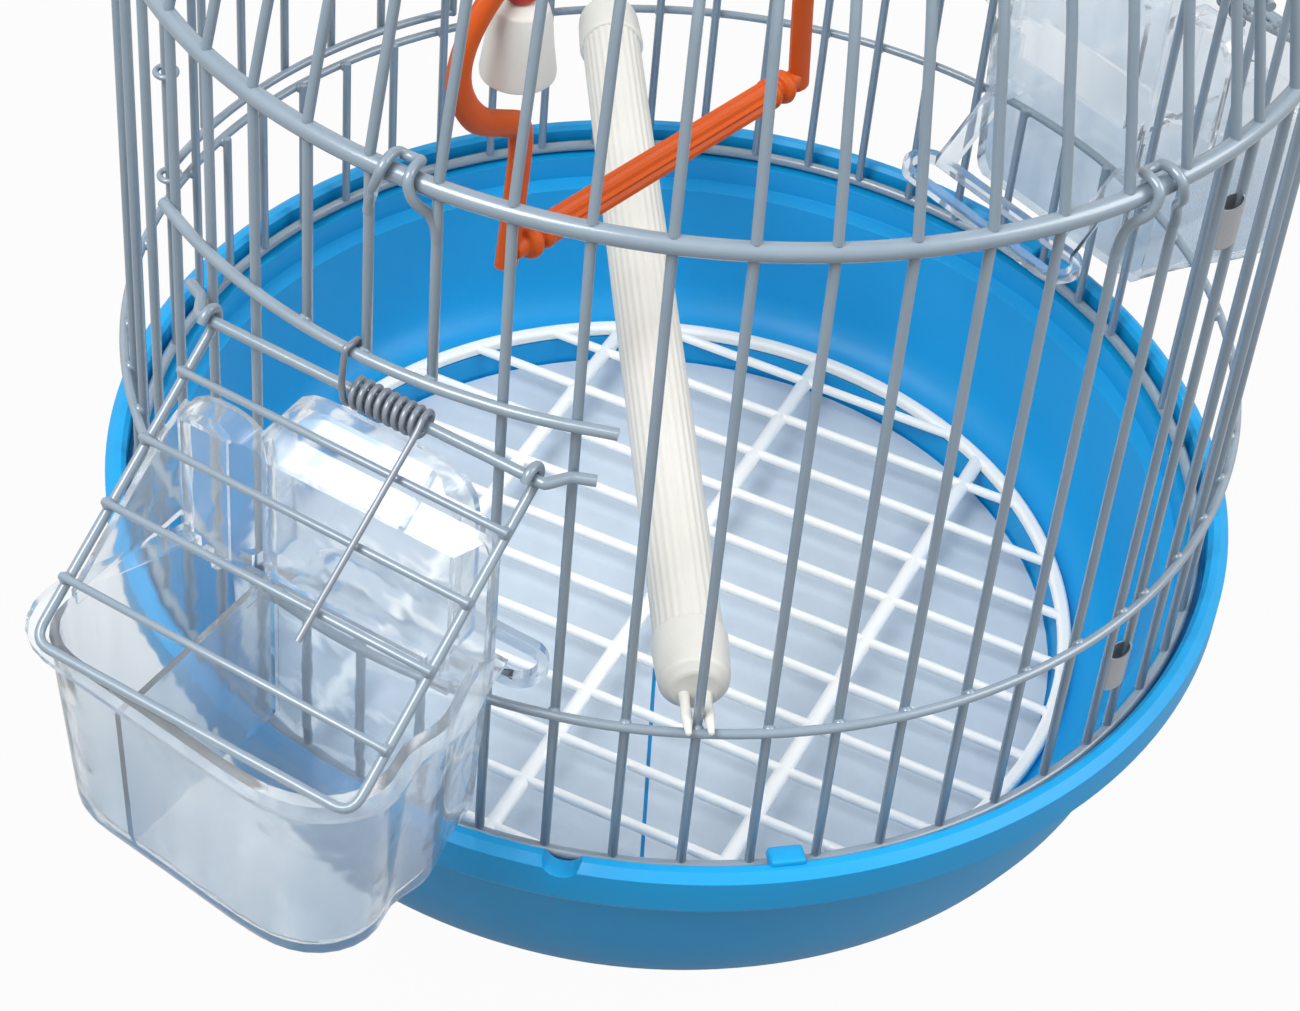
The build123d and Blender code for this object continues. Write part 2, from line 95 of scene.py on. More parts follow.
def add_node(tree, kind, settings=None, **sockets):
    """A node with its settings, and its input sockets set or linked by name."""
    node = tree.nodes.new(kind)
    for key, value in (settings or {}).items():
        setattr(node, key, value)
    for key, value in sockets.items():
        socket = node.inputs[int(key[1:]) if key[0] == "_" else key.replace("_", " ")]
        if isinstance(value, bpy.types.NodeSocket):
            tree.links.new(value, socket)
        else:
            socket.default_value = value
    return node


def math_of(tree, operation, first, second):
    """The output of a sum on two values, each a socket or a number."""
    return add_node(tree, "ShaderNodeMath", {"operation": operation}, _0=first, _1=second).outputs[0]


def seen_by(tree, gloss):
    """1 where the camera or clear plastic looks, and the share called gloss where a reflection does."""
    path = add_node(tree, "ShaderNodeLightPath").outputs
    direct = math_of(tree, "MAXIMUM", path["Is Camera Ray"], path["Is Transmission Ray"])
    mirrored = math_of(tree, "MULTIPLY", path["Is Glossy Ray"], gloss)
    return math_of(tree, "MAXIMUM", direct, mirrored)


# %% Light
WHITE_LIGHT = (1, 1, 1, 1)
ROOM_LIGHT = 0.65
CAGE_MIDDLE = Vector((0, 0, 0.1))

world = bpy.data.worlds.new("studio")
bpy.context.scene.world = world
world.use_nodes = True
tree = world.node_tree
tree.nodes.clear()
lighting = add_node(tree, "ShaderNodeBackground", Color=WHITE_LIGHT, Strength=ROOM_LIGHT).outputs[0]
backdrop = add_node(tree, "ShaderNodeBackground", Color=WHITE_LIGHT, Strength=1.0).outputs[0]
mix = add_node(tree, "ShaderNodeMixShader", None, _0=seen_by(tree, gloss=1.0), _1=lighting, _2=backdrop)
add_node(tree, "ShaderNodeOutputWorld", Surface=mix.outputs[0])


def soft_lamp(name, place, size, power):
    """A square area lamp that faces the middle of the cage, in metres and watts."""
    bpy.ops.object.select_all(action="DESELECT")
    aim = (CAGE_MIDDLE - Vector(place)).to_track_quat("-Z", "Y").to_euler()
    bpy.ops.object.light_add(type="AREA", location=place, rotation=aim)
    lamp = bpy.context.object
    lamp.name = name
    lamp.data.size = size
    lamp.data.energy = power
    return lamp


soft_lamp("key_lamp", place=(-0.8, -0.7, 1.55), size=0.9, power=28)
soft_lamp("fill_lamp", place=(1.2, -0.1, 1.2), size=1.0, power=15)

# %% Floor
FLOOR_SIZE = 12
FLOOR_GREY = 0.18
FLOOR_GLOW = 0.965

bpy.ops.object.select_all(action="DESELECT")
bpy.ops.mesh.primitive_plane_add(size=FLOOR_SIZE)
floor = bpy.context.object
floor.name = "floor"
floor_finish = bpy.data.materials.new("white_floor")
floor_finish.use_nodes = True
tree = floor_finish.node_tree
tree.nodes.clear()
plain = add_node(tree, "ShaderNodeBsdfDiffuse", Color=(FLOOR_GREY, FLOOR_GREY, FLOOR_GREY, 1))
glow = add_node(tree, "ShaderNodeEmission", Color=WHITE_LIGHT, Strength=1.0)
amount = math_of(tree, "MULTIPLY", seen_by(tree, gloss=0.5), FLOOR_GLOW)
lit = add_node(tree, "ShaderNodeMixShader", None, _0=amount, _1=plain.outputs[0], _2=glow.outputs[0])
add_node(tree, "ShaderNodeOutputMaterial", Surface=lit.outputs[0])
floor.data.materials.append(floor_finish)

# %% [markdown]
# ## Finishes
# Every finish is built from nodes that read Object coordinates, so it stays on the piece. The same
# recipe serves all of them: a slow noise shifts the colour and the gloss a little, as moulding and
# handling do, and a fine one gives the bump of the real surface.


# %% A recipe for a moulded or coated surface
def finish(name, colour, dark, rough, grain=900, bump=0.05, depth=0.0004, patch=14, **shader):
    """Material whose colour wanders between two tones, with a fine bump; shader sets plain sockets."""
    material = bpy.data.materials.new(name)
    material.use_nodes = True
    tree = material.node_tree
    surface = tree.nodes["Principled BSDF"]
    place = add_node(tree, "ShaderNodeTexCoord").outputs["Object"]
    slow = add_node(tree, "ShaderNodeTexNoise", Vector=place, Scale=patch, Detail=4.0, Roughness=0.6)
    fine = add_node(tree, "ShaderNodeTexNoise", Vector=place, Scale=grain, Detail=3.0)
    slow, fine = slow.outputs["Fac"], fine.outputs["Fac"]
    tone = add_node(tree, "ShaderNodeMix", {"data_type": "RGBA"}, _0=slow, _6=colour, _7=dark)
    tree.links.new(tone.outputs[2], surface.inputs["Base Color"])
    smooth, dull = rough * 0.8, rough * 1.25
    gloss = add_node(tree, "ShaderNodeMapRange", Value=slow, To_Min=smooth, To_Max=dull)
    tree.links.new(gloss.outputs[0], surface.inputs["Roughness"])
    relief = add_node(tree, "ShaderNodeBump", Strength=bump, Distance=depth, Height=fine)
    tree.links.new(relief.outputs[0], surface.inputs["Normal"])
    for socket, value in shader.items():
        surface.inputs[socket.replace("_", " ")].default_value = value
    return material


# %% The wire, the base, the grille and the liner
WIRE = finish(
    "coated_wire", paint(138, 154, 167), paint(117, 134, 149), 0.34, grain=700, bump=0.12, patch=60,
    Coat_Weight=1.0, Coat_Roughness=0.16,
)
BLUE = finish(
    "blue_base_plastic", paint(12, 158, 220), paint(5, 148, 210), 0.42, grain=1400, bump=0.06,
    Specular_IOR_Level=0.4,
)
WHITE = finish("white_grille_plastic", paint(253, 253, 249), paint(245, 245, 241), 0.4, patch=40)
LINER = finish(
    "liner_sheet", paint(207, 218, 228), paint(186, 199, 212), 0.5, grain=260, bump=0.25, patch=90
)

# %% The perch, the swing and the bell
PERCH = finish(
    "perch_plastic", paint(228, 227, 221), paint(215, 214, 207), 0.42, grain=1600, bump=0.1, patch=50
)
ORANGE = finish(
    "orange_swing_plastic", paint(210, 90, 24), paint(194, 77, 16), 0.45, grain=1200, bump=0.08, patch=45,
    Specular_IOR_Level=0.3,
)
BELL = finish(
    "bell_plastic", paint(232, 230, 225), paint(218, 215, 210), 0.3, patch=60,
    Subsurface_Weight=0.2, Subsurface_Scale=0.004,
)
BEAD = finish("bead_red", paint(200, 62, 46), paint(182, 50, 38), 0.3, patch=120)

# %% The springs, the clips and the cups
STEEL = finish(
    "spring_steel_wire", paint(146, 154, 163), paint(128, 136, 147), 0.3, grain=1800, patch=90, Metallic=0.3
)
CLIP = finish(
    "zinc_clip", paint(186, 189, 193), paint(166, 169, 174), 0.28, grain=1500, patch=70, Metallic=0.8
)
CLEAR = finish(
    "clear_cup_plastic", paint(214, 225, 235), paint(202, 215, 227), 0.12, grain=34, bump=0.85, depth=0.0028,
    patch=30, Transmission_Weight=0.9, IOR=1.12, Coat_Weight=0.8, Coat_Roughness=0.04,
)

# %% Painted light: the cup is paler towards the top, and keeps its own tint below
# Heights in metres between which painted light turns the cup's own tint to a near white
OWN_TINT_BELOW, PAINTED_LIGHT_ABOVE = 0.064, 0.122
PAINTED_LIGHT_TINT = paint(249, 252, 254)
STREAKS = (110, 110, 9)
WANDER = 0.07

tree = CLEAR.node_tree
surface = tree.nodes["Principled BSDF"]
own_tint = surface.inputs["Base Color"].links[0].from_socket
place = add_node(tree, "ShaderNodeTexCoord").outputs["Object"]
height = add_node(tree, "ShaderNodeSeparateXYZ", Vector=place).outputs["Z"]
stretched = add_node(tree, "ShaderNodeMapping", {"vector_type": "POINT"}, Vector=place, Scale=STREAKS)
streak = add_node(tree, "ShaderNodeTexNoise", Vector=stretched.outputs[0], Scale=1.0, Detail=2.0).outputs["Fac"]
wander = math_of(tree, "MULTIPLY", math_of(tree, "SUBTRACT", streak, 0.5), WANDER)
shifted = math_of(tree, "ADD", height, wander)
# Painted light: by height the colour goes from the cup's own tint below to near white above, with vertical
# streaks wavering the border
light_level = add_node(tree, "ShaderNodeMapRange", Value=shifted, From_Min=OWN_TINT_BELOW, From_Max=PAINTED_LIGHT_ABOVE)
painted_light_mix = add_node(tree, "ShaderNodeMix", {"data_type": "RGBA"}, _0=light_level.outputs[0], _6=own_tint, _7=PAINTED_LIGHT_TINT)
tree.links.new(painted_light_mix.outputs[2], surface.inputs["Base Color"])

# %% Which finish each slot of the record takes
finish_of = {
    "wire": WIRE, "blue_plastic": BLUE, "white_plastic": WHITE, "liner_sheet": LINER,
    "perch_plastic": PERCH, "orange_plastic": ORANGE, "bell_white": BELL, "bead_red": BEAD,
    "spring_steel": STEEL, "clip_metal": CLIP, "clear_plastic": CLEAR,
}
for name, node in nodes.items():
    node.data.materials.clear()
    node.data.materials.append(finish_of[slot_of[name]])
print("finishes", len(finish_of))

# %% [markdown]
# ## Ways of shaping
# Nearly everything here is one of three things: wire that is straight, wire that is bent, and
# plastic that is round. A straight wire starts as a cylinder whose end rims are bevelled. A bent one
# is a path curve with a round section, which keeps its thickness through every bend. A round part is
# its half section spun about the axis. Each helper leaves the object at the origin with its place in
# its mesh, as the CAD nodes have it.

# %% Shaping helpers
MM = 0.001
SMOOTH = math.radians(38)


def deselect():
    """Leaves nothing selected."""
    bpy.ops.object.select_all(action="DESELECT")


def only(piece):
    """Makes one piece the selected and active one."""
    deselect()
    piece.select_set(True)
    bpy.context.view_layer.objects.active = piece


def settle():
    """Writes the active object's place, turn and scale into its mesh."""
    bpy.ops.object.transform_apply(location=True, rotation=True, scale=True)
    return bpy.context.object


def pick(piece, wanted):
    """Opens a piece in edit mode with only the points selected whose place is wanted."""
    only(piece)
    bpy.ops.object.mode_set(mode="EDIT")
    bpy.ops.mesh.select_mode(type="VERT")
    bpy.ops.mesh.select_all(action="DESELECT")
    bpy.ops.object.mode_set(mode="OBJECT")
    for vertex in piece.data.vertices:
        vertex.select = bool(wanted(vertex.co))
    bpy.ops.object.mode_set(mode="EDIT")


def soften(piece, width, segments=2, angle=30):
    """Rounds the edges of a piece that turn by more than an angle, then shades it smooth."""
    only(piece)
    rounding = piece.modifiers.new("rounding", "BEVEL")
    rounding.width = width * MM
    rounding.segments = segments
    rounding.limit_method = "ANGLE"
    rounding.angle_limit = math.radians(angle)
    bpy.ops.object.modifier_apply(modifier=rounding.name)
    bpy.ops.object.shade_smooth_by_angle(angle=SMOOTH)
    return piece


def cut(piece, cutter):
    """Takes the cutter's form out of a piece, and then the cutter goes."""
    only(piece)
    hole = piece.modifiers.new("hole", "BOOLEAN")
    hole.operation = "DIFFERENCE"
    hole.object = cutter
    bpy.ops.object.modifier_apply(modifier=hole.name)
    bpy.data.objects.remove(cutter)


def press(piece, factors, centre=(0, 0, 0)):
    """Scales a piece's mesh about a point."""
    pick(piece, lambda place: True)
    bpy.ops.transform.resize(value=factors, center_override=centre)
    bpy.ops.object.mode_set(mode="OBJECT")


def seat(piece, *stands_for):
    """Gives a piece its finish and body, which are those of the CAD node that it stands for."""
    node = stands_for[0]
    piece.data.materials.clear()
    piece.data.materials.append(finish_of[slot_of[node]])
    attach(piece, body_of[node])
    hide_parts(*stands_for)
    print(piece.name, len(piece.data.polygons), "faces")
    return piece


def joined(name, pieces):
    """Joins pieces in one object."""
    deselect()
    for piece in pieces:
        piece.select_set(True)
    bpy.context.view_layer.objects.active = pieces[0]
    if len(pieces) > 1:
        bpy.ops.object.join()
    whole = bpy.context.object
    whole.name = name
    return whole


def copy_to(piece, place):
    """A copy with its own mesh, moved by a matrix."""
    twin = piece.copy()
    twin.data = piece.data.copy()
    twin.data.transform(place)
    bpy.context.collection.objects.link(twin)
    return twin


def about_axis(degrees):
    """A turn about the cage's upright axis."""
    return Matrix.Rotation(math.radians(degrees), 4, "Z")


def repeated(name, piece, places):
    """Copies of a piece at several places, joined. The pattern piece itself goes."""
    copies = [copy_to(piece, place) for place in places]
    bpy.data.objects.remove(piece)
    return joined(name, copies)


# %% A straight wire
def rod(start, end, thick, sides=14):
    """Straight wire between two points in mm, with rounded end rims."""
    start, end = Vector(start) * MM, Vector(end) * MM
    way = end - start
    deselect()
    bpy.ops.mesh.primitive_cylinder_add(
        vertices=sides, radius=thick / 2 * MM, depth=way.length, location=(start + end) / 2,
        rotation=way.to_track_quat("Z", "Y").to_euler(),
    )
    return soften(settle(), thick * 0.18, angle=60)


def weld(place, radius):
    """Small round bead of weld, in mm."""
    deselect()
    bpy.ops.mesh.primitive_ico_sphere_add(subdivisions=2, radius=radius * MM, location=Vector(place) * MM)
    bead = settle()
    bpy.ops.object.shade_smooth()
    return bead


# %% A bent wire
def eased(points, bend):
    """The corners of a route, each with a point just before and after it, so that a path turns there."""
    points = [Vector(p) for p in points]
    route = [points[0]]
    for before, corner, after in zip(points, points[1:], points[2:]):
        toward = [corner + (near - corner).normalized() * bend for near in (before, after)]
        route += [toward[0], corner, toward[1]]
    return route + [points[-1]]


def wire(points, thick, steps=4, order=3, closed=False, through=False):
    """Bent wire in mm. Its points pull the path as a NURBS, or with through they lie on it."""
    deselect()
    bpy.ops.curve.primitive_nurbs_path_add()
    path = bpy.context.object
    curve = path.data
    curve.splines.clear()
    spline = curve.splines.new("BEZIER" if through else "NURBS")
    if through:
        spline.bezier_points.add(len(points) - 1)
        for knot, place in zip(spline.bezier_points, points):
            knot.co = Vector(place) * MM
            knot.handle_left_type = knot.handle_right_type = "AUTO"
    else:
        spline.points.add(len(points) - 1)
        for knot, place in zip(spline.points, points):
            knot.co = (*(Vector(place) * MM), 1.0)
        spline.order_u = order
        spline.use_endpoint_u = not closed
        spline.use_cyclic_u = closed
    curve.dimensions = "3D"
    curve.resolution_u = steps
    curve.bevel_depth = thick / 2 * MM
    curve.bevel_resolution = 4
    curve.use_fill_caps = True
    bpy.ops.object.convert(target="MESH")
    bpy.ops.object.shade_smooth_by_angle(angle=SMOOTH)
    return bpy.context.object


# %% A round part
def lathe(profile, steps):
    """Closed half section of (radius, height) points in mm, spun about the vertical axis."""
    deselect()
    bpy.ops.mesh.primitive_plane_add(size=0.001)
    piece = bpy.context.object
    bpy.ops.object.mode_set(mode="EDIT")
    bpy.ops.mesh.select_all(action="SELECT")
    bpy.ops.mesh.merge(type="CENTER")
    bpy.ops.transform.translate(value=(profile[0][0] * MM, 0, profile[0][1] * MM))
    for (r0, z0), (r1, z1) in zip(profile, profile[1:] + profile[:1]):
        move = ((r1 - r0) * MM, 0, (z1 - z0) * MM)
        bpy.ops.mesh.extrude_vertices_move(TRANSFORM_OT_translate={"value": move})
    bpy.ops.mesh.select_all(action="SELECT")
    bpy.ops.mesh.remove_doubles(threshold=1e-6)
    bpy.ops.mesh.spin(steps=steps, angle=math.tau, center=(0, 0, 0), axis=(0, 0, 1))
    bpy.ops.mesh.select_all(action="SELECT")
    bpy.ops.mesh.remove_doubles(threshold=1e-6)
    bpy.ops.mesh.normals_make_consistent(inside=False)
    bpy.ops.object.mode_set(mode="OBJECT")
    bpy.ops.object.shade_smooth_by_angle(angle=SMOOTH)
    return piece


def spot(radius, azimuth, height=0.0):
    """Point in mm from its radius, its azimuth in degrees and its height."""
    a = math.radians(azimuth)
    return Vector((radius * math.cos(a), radius * math.sin(a), height))


# %% Main sizes in mm, and where the upright wires stand
WALL_R, WIRE_D = 119.4, 2.0
SPACING, ZERO_AZ, FIRST, LAST = 6.6, -86.44, -47, 7
RIM_Z, LOW_Z, TOP_Z, HEADER_Z = 54.0, 94.5, 210.7, 168.6


def upright_az(i):
    """Azimuth in degrees of the upright wire with this number, or between two of them."""
    return ZERO_AZ + SPACING * i


# %% [markdown]
# ## Base
# The base is a deep moulded tray with a stepped rim. A groove in the rim holds the lowest hoop, and
# three small snap tabs keep the wire in it. Its half section is spun, the finger notch is cut out,
# and every turn of the section is rounded, because a moulded edge is never sharp. The tabs come last.

# %% Base
BASE_SECTION = [
    (0, 0), (97, 0), (102.5, 1.4), (106.8, 4.3), (110.3, 8.8), (113.0, 14.4), (115.4, 22), (117.8, 32),
    (120.5, 44), (124.8, 45.6), (127, 48.5), (127, 56.5), (125, 58), (123.4, 58), (122.4, 57), (122.4, 52.2),
    (117.4, 52.2), (117.0, 46.2), (113.6, 45), (112.2, 34), (110.9, 25), (109.3, 18.5), (107.2, 14.4),
    (104.4, 11.8), (101.4, 10.5), (95.6, 10.5), (95.2, 3), (0, 3),
]
NOTCH_AZ, NOTCH_R, NOTCH_DEPTH, NOTCH_PLACE_R, NOTCH_Z = -97.5, 4, 12, 125, 58.6

base = lathe(BASE_SECTION, steps=180)
deselect()
bpy.ops.mesh.primitive_cylinder_add(
    vertices=32, radius=NOTCH_R * MM, depth=NOTCH_DEPTH * MM,
    location=spot(NOTCH_PLACE_R, NOTCH_AZ, NOTCH_Z) * MM,
    rotation=(math.pi / 2, 0, math.radians(NOTCH_AZ + 90)),
)
cut(base, settle())
soften(base, 0.8, segments=3, angle=34)

# %% Snap tabs
TAB_SIZE, TAB_R, TAB_Z, TAB_SLOPE = (5.6, 7.4, 3.4), 121.4, 57.7, 0.6
TABS_AT = (1.5, -34.5, -17.5)

deselect()
bpy.ops.mesh.primitive_cube_add(size=MM, location=(TAB_R * MM, 0, TAB_Z * MM), scale=TAB_SIZE)
tab = settle()
pick(tab, lambda place: place.x < TAB_R * MM and place.z > TAB_Z * MM)
bpy.ops.transform.translate(value=(TAB_SLOPE * MM, 0, -TAB_SLOPE * MM))
bpy.ops.object.mode_set(mode="OBJECT")
soften(tab, 0.8, segments=3)
tabs = repeated("tabs", tab, [about_axis(upright_az(i)) for i in TABS_AT])
base = joined("base_shell", [base, tabs])
seat(base, "base_tray")

# %% [markdown]
# ## Liner and grille
# A thin sheet lies on the floor, slit from its middle to the front, and a white grille of twelve
# thin bars over three thick ones lies on the step above it.

# %% Liner
LINER_R, LINER_LOW, LINER_TOP = 94.5, 3.1, 3.7
SLIT_MIDDLE, SLIT_SIZE = Vector((1, -47.5, 3.4)), (0.9, 96.5, 4)

liner = lathe([(0, LINER_LOW), (LINER_R, LINER_LOW), (LINER_R, LINER_TOP), (0, LINER_TOP)], steps=96)
deselect()
bpy.ops.mesh.primitive_cube_add(size=MM, location=SLIT_MIDDLE * MM, scale=SLIT_SIZE)
cut(liner, settle())
liner.name = "liner_sheet"
seat(liner, "droppings_liner")

# %% Grille
GRILLE_R, GRILLE_INNER, GRILLE_LOW, GRILLE_TOP, GRILLE_TURN = 98.6, 95.4, 10.6, 13.6, -23
THIN_BARS, THIN_D, THIN_PITCH, THIN_SHIFT = 12, 2.4, 15.6, 1.9
THICK_AT, THICK_D, THICK_WIDER = (-49.6, 0, 49.6), 3.0, 1.27
THIN_Z, THICK_Z = GRILLE_TOP - 1.25, 12.1


def chord(offset):
    """Half the length of a bar that crosses the grille at this distance from its middle."""
    return math.sqrt((GRILLE_R - 1.5) ** 2 - offset * offset)


rim_section = [
    (GRILLE_INNER, GRILLE_LOW), (GRILLE_R, GRILLE_LOW), (GRILLE_R, GRILLE_TOP), (GRILLE_INNER, GRILLE_TOP),
]
bars = [soften(lathe(rim_section, steps=150), 0.9, segments=3)]
for k in range(THIN_BARS):
    y = THIN_PITCH * (k - (THIN_BARS - 1) / 2) + THIN_SHIFT
    bars.append(rod((-chord(y), y, THIN_Z), (chord(y), y, THIN_Z), THIN_D))
for x in THICK_AT:
    bar = rod((x, -chord(x), THICK_Z), (x, chord(x), THICK_Z), THICK_D)
    press(bar, (THICK_WIDER, 1, 1), (x * MM, 0, THICK_Z * MM))
    bars.append(bar)
for bar in bars[1:]:
    bar.data.transform(about_axis(GRILLE_TURN))
seat(joined("grille", bars), "floor_grille")

# %% [markdown]
# ## Wire wall
# The wall is fifty-five upright wires welded to three hoops. Three or five uprights stop short at
# each feeder and at the door. Each length of wire is modelled once and copied round, and a small
# bead of weld sits where it crosses the lower hoop or ends at a header.

# %% Uprights
HOOK_START = 200.0
STUBS = {-4, -5, -6, -34, -35, -36, -18, -19, -20, -21, -22}
HOOK_PAIRS = (-4.5, 5.5, -15.5, -26.5, -38.5)
HOOKED = {int(pair + half) for pair in HOOK_PAIRS for half in (-0.5, 0.5)}


def upright(low, high):
    """Wire of the wall between two heights, at azimuth 0."""
    return rod((WALL_R, 0, low), (WALL_R, 0, high), WIRE_D)


everyone = range(FIRST, LAST + 1)
whole = [about_axis(upright_az(i)) for i in everyone if i not in STUBS and i not in HOOKED]
hooked = [about_axis(upright_az(i)) for i in everyone if i not in STUBS and i in HOOKED]
stubs = [about_axis(upright_az(i)) for i in STUBS]
wall = [
    repeated("whole_wires", upright(RIM_Z + 1, TOP_Z - 1.6), whole),
    repeated("hooked_wires", upright(RIM_Z + 1, HOOK_START), hooked),
    repeated("low_stubs", upright(RIM_Z + 1, LOW_Z + 1.4), stubs),
    repeated("high_stubs", upright(HEADER_Z - 1.4, TOP_Z - 1.6), stubs),
]

# %% Weld beads
bead = weld((WALL_R + WIRE_D / 2, 0, 0), 1.35)
places = [Matrix.Translation((0, 0, LOW_Z * MM)) @ about_axis(upright_az(i)) for i in everyone]
places += [Matrix.Translation((0, 0, HEADER_Z * MM)) @ about_axis(upright_az(i)) for i in STUBS]
wall.append(repeated("weld_beads", bead, places))
seat(joined("upright_wires", wall), "wall_wires")


# %% Hoops
TOP_R = 119.5
SWELLING = 1.12


def hoop(name, radius, height, thick, seam, node):
    """Wire hoop with the small swelling where its ends are welded together, at the azimuth called seam."""
    deselect()
    bpy.ops.mesh.primitive_torus_add(
        major_segments=240, minor_segments=16, major_radius=radius * MM, minor_radius=thick / 2 * MM,
        location=(0, 0, height * MM),
    )
    piece = settle()
    piece.name = name
    joint = spot(radius, seam, height) * MM
    pick(piece, lambda place: (place - joint).length < thick * 0.9 * MM)
    bpy.ops.transform.resize(value=(SWELLING, SWELLING, SWELLING), center_override=joint)
    bpy.ops.object.mode_set(mode="OBJECT")
    bpy.ops.object.shade_smooth()
    return seat(piece, node)


hoop("rim_hoop", radius=120.0, height=RIM_Z, thick=2.6, seam=100, node="rim_ring")
hoop("lower_hoop", radius=121.3, height=LOW_Z, thick=2.0, seam=130, node="lower_ring")
hoop("top_hoop", radius=TOP_R, height=TOP_Z, thick=3.7, seam=150, node="top_ring")
hoop("dome_hoop", radius=88.3, height=285.4, thick=2.0, seam=60, node="dome_ring")


# %% Headers over the openings
HEADER_R, FEEDER_HEADER_D = 121.3, 2.4
FEEDER_HEADER_ENDS, DOOR_HEADER_ENDS = (-4.1, 3.56), (-23.3, -16.7)


def part_hoop(radius, height, low_az, high_az, thick):
    """Part of a hoop between two azimuths."""
    steps = 8
    points = [spot(radius, low_az + (high_az - low_az) * k / steps, height) for k in range(steps + 1)]
    return wire(points, thick, through=True)


for side, middle in (("left", -5), ("right", -35)):
    low_end, high_end = (upright_az(middle + reach) for reach in FEEDER_HEADER_ENDS)
    header = part_hoop(HEADER_R, HEADER_Z, low_end, high_end, FEEDER_HEADER_D)
    header.name = side + "_header"
    seat(header, "feeder_header_" + side)
low_end, high_end = (upright_az(place) for place in DOOR_HEADER_ENDS)
header = part_hoop(HEADER_R, HEADER_Z, low_end, high_end, WIRE_D)
header.name = "header_over_door"
seat(header, "door_header")

# %% [markdown]
# ## Hook pairs
# At five places two neighbouring uprights are one long wire. Its halves near each other below the
# thick hoop, come up outside it and bend inwards over it, where they join like a hairpin, so that
# the wall hangs from the hoop. Half of it is written down, mirrored in the route, and the bent pair
# is copied round.

# %% Hook pairs
CLEARANCE = 2.95
OUT, IN, OVER = TOP_R + CLEARANCE, TOP_R - CLEARANCE, TOP_Z + CLEARANCE
half_pair = [
    (WALL_R, 6.9, HOOK_START), (WALL_R, 6.9, 202.0), (WALL_R + 0.4, 5.6, 205.4),
    (OUT, 4.1, 208.4), (OUT + 0.3, 3.0, 211.2), (OUT - 0.2, 2.6, OVER - 0.5),
    (OUT - 2.2, 2.5, OVER + 0.3), (119.0, 2.5, OVER + 0.3), (IN + 0.8, 2.3, OVER),
    (IN + 0.2, 1.2, OVER - 0.8),
]
pair = wire([(x, -y, z) for x, y, z in half_pair] + half_pair[::-1], WIRE_D, steps=5)
seat(repeated("hook_pairs_bent", pair, [about_axis(upright_az(p)) for p in HOOK_PAIRS]), "hook_pairs")

# %% [markdown]
# ## Seam clips
# The wall is a sheet of wires rolled up, and two small sleeves of thin metal hold its seam between
# the last wire and the first. A sleeve is a flattened tube, spun round and then pressed.

# %% Seam clips
SEAM_AZ, PRESSED = -38.44, 0.5
SLEEVE_IN, SLEEVE_OUT, SLEEVE_LOW, SLEEVE_TOP = 3.1, 3.6, 1.5, 10.5
CLIPS_AT = {"upper": 186, "lower": 70}

sleeve = lathe([
    (SLEEVE_IN, SLEEVE_LOW), (SLEEVE_OUT, SLEEVE_LOW), (SLEEVE_OUT, SLEEVE_TOP), (SLEEVE_IN, SLEEVE_TOP),
], steps=40)
press(sleeve, (PRESSED, 1, 1))
sleeve.data.transform(Matrix.Translation(((WALL_R + 0.5) * MM, 0, 0)))
for label, height in CLIPS_AT.items():
    clip = copy_to(sleeve, Matrix.Translation((0, 0, height * MM)) @ about_axis(SEAM_AZ))
    clip.name = label + "_clip"
    seat(clip, "seam_clip_" + label)
bpy.data.objects.remove(sleeve)

# %% [markdown]
# ## Dome and crown
# Every wire of the wall is followed by a wire of the dome. Every other one stops at the upper hoop,
# and the rest run on into a moulded crown. The picture doesn't show this part, so it is the plain
# form that such cages have.

# %% Dome wires
DOME_LINE = [
    (119.4, 0, 212.3), (115.3, 0, 230), (107.5, 0, 257), (90, 0, 286), (60, 0, 308), (24, 0, 318.5),
]
long_wire = wire(DOME_LINE, WIRE_D, steps=6, through=True)
short_wire = wire(DOME_LINE[:4], WIRE_D, steps=6, through=True)
longs = [about_axis(upright_az(i)) for i in everyone if i % 2 == 0]
shorts = [about_axis(upright_az(i)) for i in everyone if i % 2]
seat(repeated("long_dome_wires", long_wire, longs), "dome_long_wires")
seat(repeated("short_dome_wires", short_wire, shorts), "dome_short_wires")

# %% Crown, staple and hanging hook
crown = lathe([(2.5, 314), (25, 314), (27.5, 316), (27.5, 320), (20, 324), (8, 327), (2.5, 327)], steps=96)
soften(crown, 0.8, segments=3, angle=15)
crown.name = "crown"
seat(crown, "crown_cap")

SWING_X, SWING_Y, SWING_AZ, PIVOT_Z = -9.0, 0.5, 50.6, 300.0
STAPLE_HALF, STAPLE_TOP, STAPLE_D, STAPLE_BEND = 11, 315, 3.0, 3.5
swing_place = Matrix.Translation((SWING_X * MM, SWING_Y * MM, 0)) @ about_axis(SWING_AZ - 90)
staple_route = [
    (0, -STAPLE_HALF, STAPLE_TOP), (0, -STAPLE_HALF, PIVOT_Z),
    (0, STAPLE_HALF, PIVOT_Z), (0, STAPLE_HALF, STAPLE_TOP),
]
staple = wire(eased(staple_route, STAPLE_BEND), STAPLE_D, steps=6)
staple.name = "staple"
staple.data.transform(swing_place)
seat(staple, "swing_staple")

BOW_R, BOW_Z, BOW_D, BOW_STEP, BOW_POINTS = 13.05, 343, 3.8, 15, 18
shank = lathe([(0, 309), (4.1, 309), (4.1, 312.5), (1.9, 312.5), (1.9, 331), (0, 331)], steps=32)
soften(shank, 0.5)
turns = [math.radians(-90 + BOW_STEP * k) for k in range(BOW_POINTS)]
bow = wire([(BOW_R * math.cos(a), 0, BOW_Z + BOW_R * math.sin(a)) for a in turns], BOW_D, order=4)
seat(joined("hook_of_crown", [shank, bow]), "hanging_hook")

